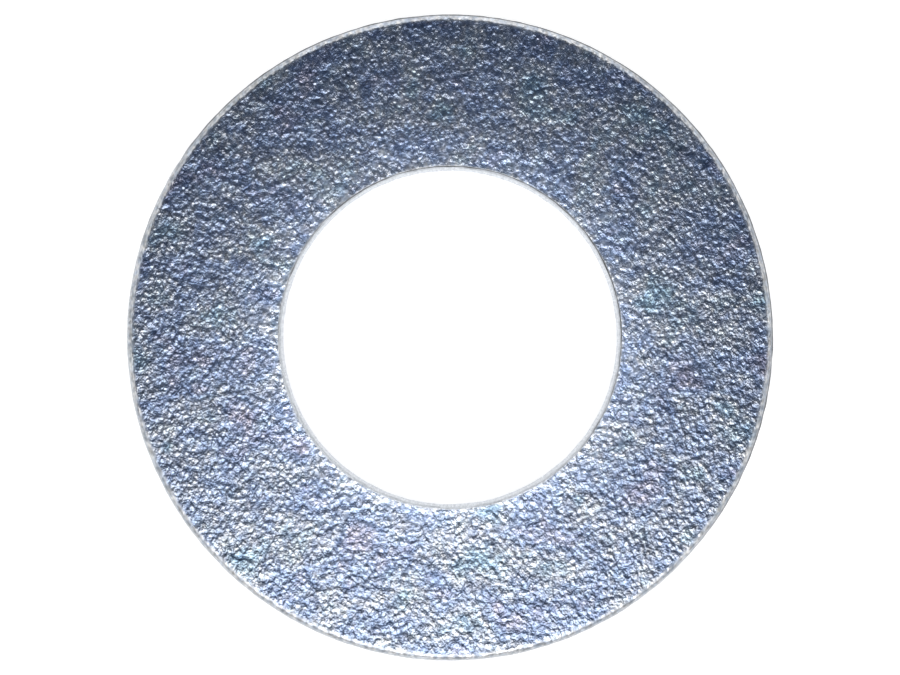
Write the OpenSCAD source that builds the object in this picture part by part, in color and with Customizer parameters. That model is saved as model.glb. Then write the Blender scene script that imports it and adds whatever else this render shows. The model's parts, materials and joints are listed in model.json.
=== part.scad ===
// Flat washer for an M8 bolt, normal series, product grade A (ISO 7089, the former DIN 125 A).
// One piece of steel sheet, pierced and blanked by a press, tumbled, then zinc plated.
// The blanking die rolls the sheet over at the rim of the top face, and the piercing punch rolls it
// over at the hole of the bottom face. Tumbling takes the sharpness off the two other edges.
// Units are millimetres. The origin is the centre of the hole in the plane of the bottom face, +Z up.

/* [Washer] */
// Diameter of the hole, which clears the bolt's shank
hole_d = 8.4; // [8.4:0.02:8.62]
// Outside diameter
outer_d = 16; // [15.6:0.05:16]
// Thickness of the sheet
thickness = 1.6; // [1.4:0.05:1.8]

/* [Edges] */
// Radius rolled over by the press, at the rim's top edge and the hole's bottom edge
roll_r = 0.2; // [0.05:0.01:0.4]
// Radius left by tumbling, at the hole's top edge and the rim's bottom edge
tumble_r = 0.04; // [0.02:0.01:0.3]

/* [Hidden] */
// Fineness of the drawn circles; the solid itself has true curves
$fn = 180;
hole_r = hole_d / 2;
outer_r = outer_d / 2;
// Width of the ring of metal between the hole and the outside
ring_w = outer_r - hole_r;
plating_colour = [0.62, 0.67, 0.75];

// What a quarter round of radius r takes off a square corner at the origin
module corner_waste(r) {
    difference() {
        square(r);
        translate([r, r]) circle(r);
    }
}

// What both roundings take off the hole's side of the section
module side_waste() {
    corner_waste(roll_r);
    translate([0, thickness]) mirror([0, 1]) corner_waste(tumble_r);
}

// The section through one side of the ring, with its hole side on the Y axis.
// Half a turn about its middle leaves it the same.
module ring_section() {
    difference() {
        square([ring_w, thickness]);
        side_waste();
        translate([ring_w, thickness]) rotate(180) side_waste();
    }
}

// The whole washer: the section turned about the axis of the hole
module washer() {
    color(plating_colour)
        rotate_extrude()
            translate([hole_r, 0]) ring_section();
}

washer();
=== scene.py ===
"""Looks of a zinc-plated flat washer, seen straight from above on a white table, beside a soft lamp.

Lengths are in metres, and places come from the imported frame: the washer's axis is Z, and it lies on Z = 0.
Sizes that a function says are in mm become metres inside it.
"""
import json
import math

import bpy
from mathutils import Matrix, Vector, noise


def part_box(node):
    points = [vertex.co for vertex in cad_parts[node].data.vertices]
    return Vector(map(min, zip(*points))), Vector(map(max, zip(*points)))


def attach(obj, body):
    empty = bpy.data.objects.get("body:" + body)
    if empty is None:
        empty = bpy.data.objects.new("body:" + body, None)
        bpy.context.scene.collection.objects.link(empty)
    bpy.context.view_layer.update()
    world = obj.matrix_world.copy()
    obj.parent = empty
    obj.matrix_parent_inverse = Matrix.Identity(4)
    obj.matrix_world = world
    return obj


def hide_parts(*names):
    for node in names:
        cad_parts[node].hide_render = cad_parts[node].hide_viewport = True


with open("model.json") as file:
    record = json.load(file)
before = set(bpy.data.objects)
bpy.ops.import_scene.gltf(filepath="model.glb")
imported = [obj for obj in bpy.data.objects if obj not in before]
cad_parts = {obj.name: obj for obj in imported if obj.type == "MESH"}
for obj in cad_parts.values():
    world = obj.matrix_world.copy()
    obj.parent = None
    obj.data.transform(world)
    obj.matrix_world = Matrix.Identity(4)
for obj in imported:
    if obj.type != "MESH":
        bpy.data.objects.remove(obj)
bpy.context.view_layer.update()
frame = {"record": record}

MM = 0.001
low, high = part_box("washer")
OUTER_R = (high.x - low.x) / 2
THICKNESS = high.z - low.z
BORE = next(mount for mount in frame["record"]["mounts"] if mount["name"] == "bolt_hole")
HOLE_R = BORE["dims"]["r_mm"] * MM

# The press rolled over the rim's top edge and the hole's bottom edge; tumbling rounded the other two.
TUMBLE_R = 0.04 * MM
ROLL_R = THICKNESS - BORE["dims"]["length_mm"] * MM - TUMBLE_R

# How far from its rolled edge's face each wall was sheared smoothly. Beyond that the metal tore.
HOLE_SHEARED = 1.15 * MM
RIM_SHEARED = 0.60 * MM
TEARING = 0.12 * MM        # over which the one turns into the other

# Distance between neighbouring points of the mesh
TOP_STEP = 0.055 * MM
BOTTOM_STEP = 0.105 * MM
WALL_STEP = 0.080 * MM
EDGE_STEP = 0.036 * MM
ROW_SHARE = 0.87           # of a step between rows, which makes the triangles nearly equilateral

# How the top sinks, with depths in mm
RIM_SINKS = 0.012
RIM_SINK_WIDTH = 0.40 * MM
LIP_HEIGHT = 0.007
LIP_WIDTH = 0.14 * MM

# Depths in mm of the tumbled surface's waves, and of torn metal below sheared
SMALL_WAVES = 0.009
LARGE_WAVES = 0.010
RIM_WAVES = 0.024
HOLE_WAVES = 0.014
TORN_BACK = 0.006
TORN_WAVES = 0.026
HOLE_SWELL = 0.020         # out of the hole's wall, which brings it back to about its own radius

# Heights in mm of what is too fine for the mesh and shows as bump
LOW_LUMPS = 0.0085
HIGH_LUMPS = 0.0115
GRIT = 0.016
STREAKS = 0.008
CRUMBS = 0.040

# Distance between neighbouring lumps, which stand between the dents of tumbling
LUMP_SIZE = 0.121 * MM

# How patterns are drawn out: the faces' a little along Y, the way the sheet was rolled, and the walls'
# along Z
ROLLED = (1.08, 0.83, 1)
STREAKED = (1, 1, 0.05)
CRUMBLED = (1, 1, 0.5)

# Colours of the plate by the strength of a cloud of noise: the passivate film, its tints, the grain over
# them and the zinc where the film is worn off
FILM = [(0.32, (0.81, 0.76, 0.85)), (0.44, (0.67, 0.76, 0.93)), (0.55, (0.90, 0.90, 0.91)),
        (0.68, (0.66, 0.83, 0.90))]
TINTS = [(0.34, (0.66, 0.68, 0.75)), (0.46, (0.84, 0.86, 0.91)), (0.56, (0.96, 0.96, 0.97)),
         (0.68, (1.0, 1.02, 1.0))]
GRAIN = [(0.35, 0.62), (0.60, 1)]
BARE_ZINC = [(0.35, 0.72), (0.65, 0.96)]

# Colours of the plate by the distance from a lump's middle: painted shade, bluish, which darkens the hollows
# between lumps
PAINTED_HOLLOW_SHADE = [(0.25, 1), (0.75, (0.67, 0.74, 0.84))]

# By how far across the ring a place is, from 0 at the hole to 1 at the rim: the walls, the edges next to
# them, where the film is worn off, how bright rubbing has left the plate, and how dull it is
WALLS = [(0.005, 1), (0.012, 0), (0.981, 0), (0.987, 1)]
EDGES = [(0.006, 1), (0.011, 0), (0.981, 0), (0.987, 1)]
WORN = [(0.012, 0.7), (0.035, 0), (0.940, 0), (0.962, 0.85)]
RUBBED = [(0.03, 1.25), (0.12, 1.02), (0.30, 0.86), (0.60, 0.80), (0.945, 0.78), (0.962, 0.86)]
DULLNESS = [(0, 0.28), (0.25, 0.255), (0.93, 0.21), (0.96, 0.30)]
TORN_DULLNESS = 0.16

# By how far up the washer a place is: the edges of the top
TOP_ONLY = [(0.89, 0), (0.91, 1)]

# Colours of the walls, and the share of the hole's brightness that the rim has
SHEARED_METAL = [(0.35, (0.60, 0.62, 0.65)), (0.65, (0.84, 0.86, 0.88))]
TORN_METAL = [(0.35, (0.38, 0.40, 0.43)), (0.65, (0.66, 0.68, 0.71))]
RIM_SHADE = 0.75

# Painted shade along the top's edges, and the direction towards which it gets darker
PAINTED_EDGE_SHADE = [(0.35, 1), (0.80, 0.15)]
SHADED_END = (0.5, 0.85, 0)

# The camera's distance in washer diameters, and the share of the picture's width that the washer takes up
CAMERA_AWAY = 3.75
SHOWN_SHARE = 0.7220
SENSOR_WIDTH = 36

TABLE_SIZE = 100 * OUTER_R
TABLE_GREY = (0.45, 0.45, 0.45, 1)
TABLE_GLOW = 0.72

# Tones by the angle in degrees off the middle of each light: the lamp, a fainter one opposite, and the room
# round the zenith, with its cornice from 58 to 36 degrees
LAMP = [(32, 0), (25, (0.10, 0.115, 0.14)), (20, (0.60, 0.61, 0.64)), (12, 1.6)]
BOUNCE = [(35, 0), (20, 0.28), (5, 0.40)]
ROOM = [(90, 0.45), (76, 0.40), (64, 0.18), (58, 0.30), (52, 0.9), (44, 0.9), (36, 0.08),
        (22, (0.022, 0.034, 0.057))]
ROOM_STRENGTH = 2.0


def arc(centre_r, centre_z, radius, start, end, ring_step):
    """Section points on an arc but its last, each (r, z, normal r, normal z, step round the ring)."""
    count = max(3, round(radius * abs(math.radians(end - start)) / EDGE_STEP))
    points = []
    for i in range(count):
        angle = math.radians(start + (end - start) * i / count)
        nr, nz = math.cos(angle), math.sin(angle)
        points.append((centre_r + radius * nr, centre_z + radius * nz, nr, nz, ring_step))
    return points


def line(start, end, normal, step):
    """Section points on a straight stretch, in the same form, without its last point."""
    count = round(math.dist(start, end) / (step * ROW_SHARE))
    points = []
    for i in range(count):
        share = i / count
        r = start[0] + (end[0] - start[0]) * share
        z = start[1] + (end[1] - start[1]) * share
        points.append((r, z, *normal, step))
    return points


def section():
    """The ring's closed section, from the foot of the hole's wall up, out over the top, down and back."""
    points = line((HOLE_R, ROLL_R), (HOLE_R, THICKNESS - TUMBLE_R), (-1, 0), WALL_STEP)
    points += arc(HOLE_R + TUMBLE_R, THICKNESS - TUMBLE_R, TUMBLE_R, 180, 90, TOP_STEP)
    points += line((HOLE_R + TUMBLE_R, THICKNESS), (OUTER_R - ROLL_R, THICKNESS), (0, 1), TOP_STEP)
    points += arc(OUTER_R - ROLL_R, THICKNESS - ROLL_R, ROLL_R, 90, 0, TOP_STEP)
    points += line((OUTER_R, THICKNESS - ROLL_R), (OUTER_R, TUMBLE_R), (1, 0), WALL_STEP)
    points += arc(OUTER_R - TUMBLE_R, TUMBLE_R, TUMBLE_R, 0, -90, WALL_STEP)
    points += line((OUTER_R - TUMBLE_R, 0), (HOLE_R + ROLL_R, 0), (0, -1), BOTTOM_STEP)
    points += arc(HOLE_R + ROLL_R, ROLL_R, ROLL_R, 270, 180, WALL_STEP)
    return points


def waves(place, depth, size, shift=0):
    """Noise from 0 to a depth at a place, with features of about a size in mm."""
    return depth * (0.5 + 0.5 * noise.noise(place / (size * MM) + Vector((shift, 2 * shift, -shift))))


def relief(r, place, side):
    """Depth of the tumbled surface below the true one. Side is 0 on a face and 1 on a wall."""
    on_rim = r > (HOLE_R + OUTER_R) / 2
    past_sheared = THICKNESS - place.z - RIM_SHEARED if on_rim else place.z - HOLE_SHEARED
    torn = side * min(1, max(0, past_sheared / TEARING))
    drawn_up = Vector((place.x, place.y, 0.35 * place.z))
    depth = waves(place, SMALL_WAVES, 0.15) + waves(place, LARGE_WAVES, 0.50, 7)
    depth += waves(place, (RIM_WAVES if on_rim else HOLE_WAVES) * side, 0.35, 3)
    depth += torn * (TORN_BACK + waves(drawn_up, TORN_WAVES, 0.22, 5))
    return depth * MM if on_rim else (depth - HOLE_SWELL * side) * MM


def droop(r, place):
    """How far the top sinks: most at the rim, not at a slight lip round the hole, and less further down."""
    rim_share = max(0, 1 - (OUTER_R - r) / RIM_SINK_WIDTH)
    lip_share = max(0, 1 - (r - HOLE_R) / LIP_WIDTH)
    depth = waves(place, RIM_SINKS * rim_share ** 2, 0.45, 4) + LIP_HEIGHT * (1 - lip_share ** 2)
    return depth * MM * place.z / THICKNESS


def ring_faces(first, count, turn, next_first, next_count, next_turn):
    """Triangles between two neighbouring rings of points, which may hold different numbers of points."""
    faces = []
    i = j = 0
    while i < count or j < next_count:
        here = first + i % count
        there = next_first + j % next_count
        behind = (i + 1 + turn) / count <= (j + 1 + next_turn) / next_count
        if j >= next_count or (behind and i < count):
            i += 1
            faces.append((here, there, first + i % count))
        else:
            j += 1
            faces.append((here, there, next_first + j % next_count))
    return faces


def washer_mesh():
    """The ring as rings of points round the axis, pushed in by the relief, as one closed mesh."""
    points, rings = [], []
    for index, (r, z, nr, nz, step) in enumerate(section()):
        count = round(2 * math.pi * r / step)
        turn = 0.5 * (index % 2)
        rings.append((len(points), count, turn))
        for i in range(count):
            angle = 2 * math.pi * (i + turn) / count
            c, s = math.cos(angle), math.sin(angle)
            place = Vector((r * c, r * s, z))
            pushed_in = Vector((nr * c, nr * s, nz)) * relief(r, place, 1 - abs(nz))
            points.append(place - pushed_in - Vector((0, 0, droop(r, place))))
    faces = []
    for ring, following in zip(rings, rings[1:] + rings[:1]):
        faces += ring_faces(*ring, *following)
    mesh = bpy.data.meshes.new("washer_ring")
    mesh.from_pydata(points, [], faces)
    mesh.flip_normals()
    mesh.shade_smooth()
    return mesh


def set_inputs(made, **inputs):
    """Sets a node's inputs, by name with _ for a space, and gives the node back."""
    for name, value in inputs.items():
        made.inputs[name.replace("_", " ")].default_value = value
    return made


def node(tree, kind, **inputs):
    """A new shader node with some of its inputs set."""
    return set_inputs(tree.nodes.new(kind), **inputs)


def joined(tree, made, operation, *values):
    """A Math or Vector Math node, with each input a value or an output socket."""
    made.operation = operation
    for socket, value in zip(made.inputs, values):
        if isinstance(value, bpy.types.NodeSocket):
            tree.links.new(value, socket)
        else:
            socket.default_value = value
    return made


def sums(tree, operation, *values):
    """The result of a Math node."""
    return joined(tree, tree.nodes.new("ShaderNodeMath"), operation, *values).outputs[0]


def vectors(tree, operation, *values):
    """The result of a Vector Math node."""
    made = joined(tree, tree.nodes.new("ShaderNodeVectorMath"), operation, *values)
    return made.outputs["Value" if operation in ("DOT_PRODUCT", "LENGTH") else "Vector"]


def ramp(tree, value, stops):
    """A ramp from (position, colour or grey) stops, fed by an output socket."""
    made = tree.nodes.new("ShaderNodeValToRGB")
    while len(made.color_ramp.elements) < len(stops):
        made.color_ramp.elements.new(0.5)
    for element, (position, colour) in zip(made.color_ramp.elements, stops):
        element.position = position
        element.color = (*colour, 1) if isinstance(colour, tuple) else (colour, colour, colour, 1)
    tree.links.new(value, made.inputs["Fac"])
    return made.outputs["Color"]


def mixed(tree, blend, share, first, second):
    """Two colours mixed. The share is a number or an output socket."""
    made = tree.nodes.new("ShaderNodeMix")
    made.data_type = "RGBA"
    made.blend_type = blend
    if isinstance(share, bpy.types.NodeSocket):
        tree.links.new(share, made.inputs["Factor"])
    else:
        made.inputs["Factor"].default_value = share
    tree.links.new(first, made.inputs["A"])
    tree.links.new(second, made.inputs["B"])
    return made.outputs["Result"]


def multiplied(tree, *colours):
    """Two or more colours multiplied."""
    product = colours[0]
    for colour in colours[1:]:
        product = mixed(tree, "MULTIPLY", 1, product, colour)
    return product


def cloud(tree, place, size, detail=1.0, roughness=0.5):
    """Noise from 0 to 1 with features of about a size in mm."""
    made = node(tree, "ShaderNodeTexNoise", Scale=1 / (size * MM), Detail=detail, Roughness=roughness)
    tree.links.new(place, made.inputs["Vector"])
    return made.outputs["Fac"]


def warped(tree, place, size, shift):
    """Places pushed about by up to half of a shift in mm, over distances of about a size in mm."""
    noises = node(tree, "ShaderNodeTexNoise", Scale=1 / (size * MM), Detail=1.0)
    tree.links.new(place, noises.inputs["Vector"])
    centred = vectors(tree, "SUBTRACT", noises.outputs["Color"], (0.5, 0.5, 0.5))
    return vectors(tree, "ADD", place, vectors(tree, "MULTIPLY", centred, (shift * MM,) * 3))


def tumbled_lumps(tree, place):
    """Closely packed lumps of uneven shapes, as the distance to each one's middle."""
    made = node(tree, "ShaderNodeTexVoronoi", Scale=1 / LUMP_SIZE)
    made.feature = "SMOOTH_F1"
    set_inputs(made, Smoothness=0.6)
    tree.links.new(warped(tree, place, 0.15, 0.08), made.inputs["Vector"])
    return made.outputs["Distance"]


def distance_across(tree, place):
    """How far across the ring a place is, from 0 at the hole to 1 at the rim."""
    radius = vectors(tree, "LENGTH", vectors(tree, "MULTIPLY", place, (1, 1, 0)))
    reach = node(tree, "ShaderNodeMapRange", From_Min=HOLE_R, From_Max=OUTER_R)
    tree.links.new(radius, reach.inputs["Value"])
    return reach.outputs[0]


def height_share(tree, place):
    """How high up the washer a place is, from 0 to 1."""
    parts = tree.nodes.new("ShaderNodeSeparateXYZ")
    tree.links.new(place, parts.inputs[0])
    return sums(tree, "DIVIDE", parts.outputs["Z"], THICKNESS)


def by_side(tree, across, at_hole, at_rim):
    """A ramp that changes halfway across the ring."""
    return ramp(tree, across, [(0.49, at_hole), (0.51, at_rim)])


def torn_mask(tree, place, across, up):
    """1 at the heights where a wall's metal tore, with a wavy border to where it was sheared."""
    wavy = sums(tree, "MULTIPLY_ADD", cloud(tree, place, 0.5, 3.0), 0.30, sums(tree, "SUBTRACT", up, 0.15))
    tearing = TEARING / THICKNESS
    hole_border = HOLE_SHEARED / THICKNESS
    rim_border = 1 - RIM_SHEARED / THICKNESS
    torn_hole = ramp(tree, wavy, [(hole_border, 0), (hole_border + tearing, 1)])
    torn_rim = ramp(tree, wavy, [(rim_border - tearing, 1), (rim_border, 0)])
    return mixed(tree, "MIX", by_side(tree, across, 0, 1), torn_hole, torn_rim)


def fine_height(tree, place, lumps, streaks, wall, torn):
    """Height in mm of the lumps, grit, streaks and crumbs."""
    rolled = vectors(tree, "MULTIPLY", place, ROLLED)
    crumbled = vectors(tree, "MULTIPLY", place, CRUMBLED)
    lump_height = ramp(tree, cloud(tree, place, 0.45), [(0.35, LOW_LUMPS), (0.65, HIGH_LUMPS)])
    crumbs = sums(tree, "MULTIPLY", cloud(tree, crumbled, 0.07, 3.0, 0.6), torn)
    height = sums(tree, "MULTIPLY", cloud(tree, rolled, 0.09, 2.0), GRIT)
    height = sums(tree, "SUBTRACT", height, sums(tree, "MULTIPLY", lumps, lump_height))
    height = sums(tree, "MULTIPLY_ADD", sums(tree, "MULTIPLY", streaks, wall), STREAKS, height)
    return sums(tree, "MULTIPLY_ADD", crumbs, CRUMBS, height)


def face_colour(tree, place, across, lumps):
    """The plate on the two faces: a blotchy film, worn off along the edges, and painted shade in the
    hollows.
    """
    rolled = vectors(tree, "MULTIPLY", place, ROLLED)
    waviness = cloud(tree, place, 0.35, 2.0)
    wavy_across = sums(tree, "MULTIPLY_ADD", waviness, 0.03, sums(tree, "SUBTRACT", across, 0.015))
    film = ramp(tree, cloud(tree, place, 1.5, 3.0, 0.6), FILM)
    tints = ramp(tree, cloud(tree, place, 0.40, 3.0), TINTS)
    bare_zinc = ramp(tree, cloud(tree, place, 0.25, 2.0), BARE_ZINC)
    worn = ramp(tree, wavy_across, WORN)
    plate = mixed(tree, "MIX", worn, multiplied(tree, film, tints), bare_zinc)
    grain = ramp(tree, cloud(tree, rolled, 0.10, 2.0), GRAIN)
    # The hollows between lumps darken with painted shade
    return multiplied(tree, plate, ramp(tree, lumps, PAINTED_HOLLOW_SHADE), grain, ramp(tree, wavy_across, RUBBED))


def wall_colour(tree, place, across, streaks, torn):
    """The plate on the two walls: streaked where the metal was sheared and crumbled where it tore."""
    crumbled = vectors(tree, "MULTIPLY", place, CRUMBLED)
    sheared_metal = ramp(tree, streaks, SHEARED_METAL)
    torn_metal = ramp(tree, cloud(tree, crumbled, 0.09, 3.0, 0.7), TORN_METAL)
    plate = mixed(tree, "MIX", torn, sheared_metal, torn_metal)
    return multiplied(tree, plate, by_side(tree, across, 1, RIM_SHADE))


def painted_edge_shade(tree, place):
    """Painted shade along the top's edges, patchy and darker towards the shaded end."""
    shaded_end = tuple(part / OUTER_R for part in SHADED_END)
    towards_end = sums(tree, "MULTIPLY", vectors(tree, "DOT_PRODUCT", place, shaded_end), 0.9)
    return ramp(tree, sums(tree, "MULTIPLY_ADD", cloud(tree, place, 1.5, 2.0), 1.2, towards_end), PAINTED_EDGE_SHADE)


def plate_roughness(tree, place, across, torn):
    """Roughness of the plate, a little uneven, and more where the metal tore."""
    uneven = sums(tree, "MULTIPLY_ADD", cloud(tree, place, 0.3, 2.0), 0.14, -0.07)
    roughness = sums(tree, "ADD", ramp(tree, across, DULLNESS), uneven)
    return sums(tree, "MULTIPLY_ADD", torn, TORN_DULLNESS, roughness)


def zinc():
    """Bright zinc plate with a thin blue passivate film, over steel that tumbling left dimpled."""
    material = bpy.data.materials.new("zinc_plate")
    material.use_nodes = True
    tree = material.node_tree
    tree.nodes.clear()
    out = tree.nodes.new("ShaderNodeOutputMaterial")
    shader = node(tree, "ShaderNodeBsdfPrincipled", Metallic=1.0, Specular_Tint=(0.85, 0.87, 0.90, 1))
    tree.links.new(shader.outputs[0], out.inputs["Surface"])

    place = tree.nodes.new("ShaderNodeTexCoord").outputs["Object"]
    across = distance_across(tree, place)
    up = height_share(tree, place)
    wall = ramp(tree, across, WALLS)
    torn = sums(tree, "MULTIPLY", torn_mask(tree, place, across, up), wall)
    top_edge = sums(tree, "MULTIPLY", ramp(tree, across, EDGES), ramp(tree, up, TOP_ONLY))
    lumps = tumbled_lumps(tree, vectors(tree, "MULTIPLY", place, ROLLED))
    streaks = cloud(tree, vectors(tree, "MULTIPLY", place, STREAKED), 0.045, 2.0)

    bump = node(tree, "ShaderNodeBump", Strength=1.0, Distance=MM)
    tree.links.new(fine_height(tree, place, lumps, streaks, wall, torn), bump.inputs["Height"])
    tree.links.new(bump.outputs[0], shader.inputs["Normal"])
    face = face_colour(tree, place, across, lumps)
    plate = mixed(tree, "MIX", wall, face, wall_colour(tree, place, across, streaks, torn))
    # The plate, with painted shade along the top's edges
    tree.links.new(mixed(tree, "MULTIPLY", top_edge, plate, painted_edge_shade(tree, place)), shader.inputs["Base Color"])
    tree.links.new(plate_roughness(tree, place, across, torn), shader.inputs["Roughness"])
    return material


def washer():
    """The whole washer as one piece."""
    piece = bpy.data.objects.new("zinc_washer", washer_mesh())
    bpy.context.scene.collection.objects.link(piece)
    piece.data.materials.append(zinc())
    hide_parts("washer")
    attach(piece, "root")


def floor():
    """A white table, lit a little from within like a light table, so that it shows as white."""
    bpy.ops.mesh.primitive_plane_add(size=TABLE_SIZE)
    table = bpy.context.object
    table.name = "table"
    material = bpy.data.materials.new("white_table")
    material.use_nodes = True
    shader = material.node_tree.nodes["Principled BSDF"]
    set_inputs(shader, Base_Color=TABLE_GREY, Roughness=0.6, Emission_Color=(1, 1, 1, 1))
    set_inputs(shader, Emission_Strength=TABLE_GLOW)
    table.data.materials.append(material)


def camera():
    """Straight above the washer, as far away as makes the hole's wall show as it does."""
    distance = CAMERA_AWAY * 2 * OUTER_R
    shown_width = 2 * OUTER_R / SHOWN_SHARE
    data = bpy.data.cameras.new("camera")
    data.sensor_width = SENSOR_WIDTH
    data.lens = data.sensor_width * distance / shown_width
    data.clip_start = 0.1 * distance
    data.clip_end = 100 * distance
    lens = bpy.data.objects.new("camera", data)
    lens.location = (0, 0, THICKNESS + distance)
    bpy.context.scene.collection.objects.link(lens)
    bpy.context.scene.camera = lens


def leaning(lean, turn):
    """The direction that leans from straight up towards -Y, turned towards -X, by angles in degrees."""
    lean, turn = math.radians(lean), math.radians(turn)
    return -math.sin(lean) * math.sin(turn), -math.sin(lean) * math.cos(turn), math.cos(lean)


def light_round(tree, place, axis, tones):
    """Light round an axis, from (angle off it in degrees, tone) stops."""
    off_axis = vectors(tree, "DOT_PRODUCT", place, axis)
    return ramp(tree, off_axis, [(math.cos(math.radians(angle)), tone) for angle, tone in tones])


def tent():
    """A soft lamp beside the camera, towards -Y, and a fainter light opposite it.

    They stand in a dark room with a bright cornice and pale walls.
    """
    world = bpy.data.worlds.new("tent")
    bpy.context.scene.world = world
    world.use_nodes = True
    tree = world.node_tree
    place = tree.nodes.new("ShaderNodeTexCoord").outputs["Generated"]
    lamp = light_round(tree, place, leaning(lean=26, turn=4), LAMP)
    bounce = light_round(tree, place, leaning(lean=-70, turn=0), BOUNCE)
    room = light_round(tree, place, (0, 0, 1), ROOM)
    lit = mixed(tree, "ADD", 1, mixed(tree, "ADD", 1, lamp, room), bounce)
    background = tree.nodes["Background"]
    tree.links.new(lit, background.inputs["Color"])
    background.inputs["Strength"].default_value = ROOM_STRENGTH


camera()
washer()
floor()
tent()
bpy.context.scene.view_settings.view_transform = "Standard"
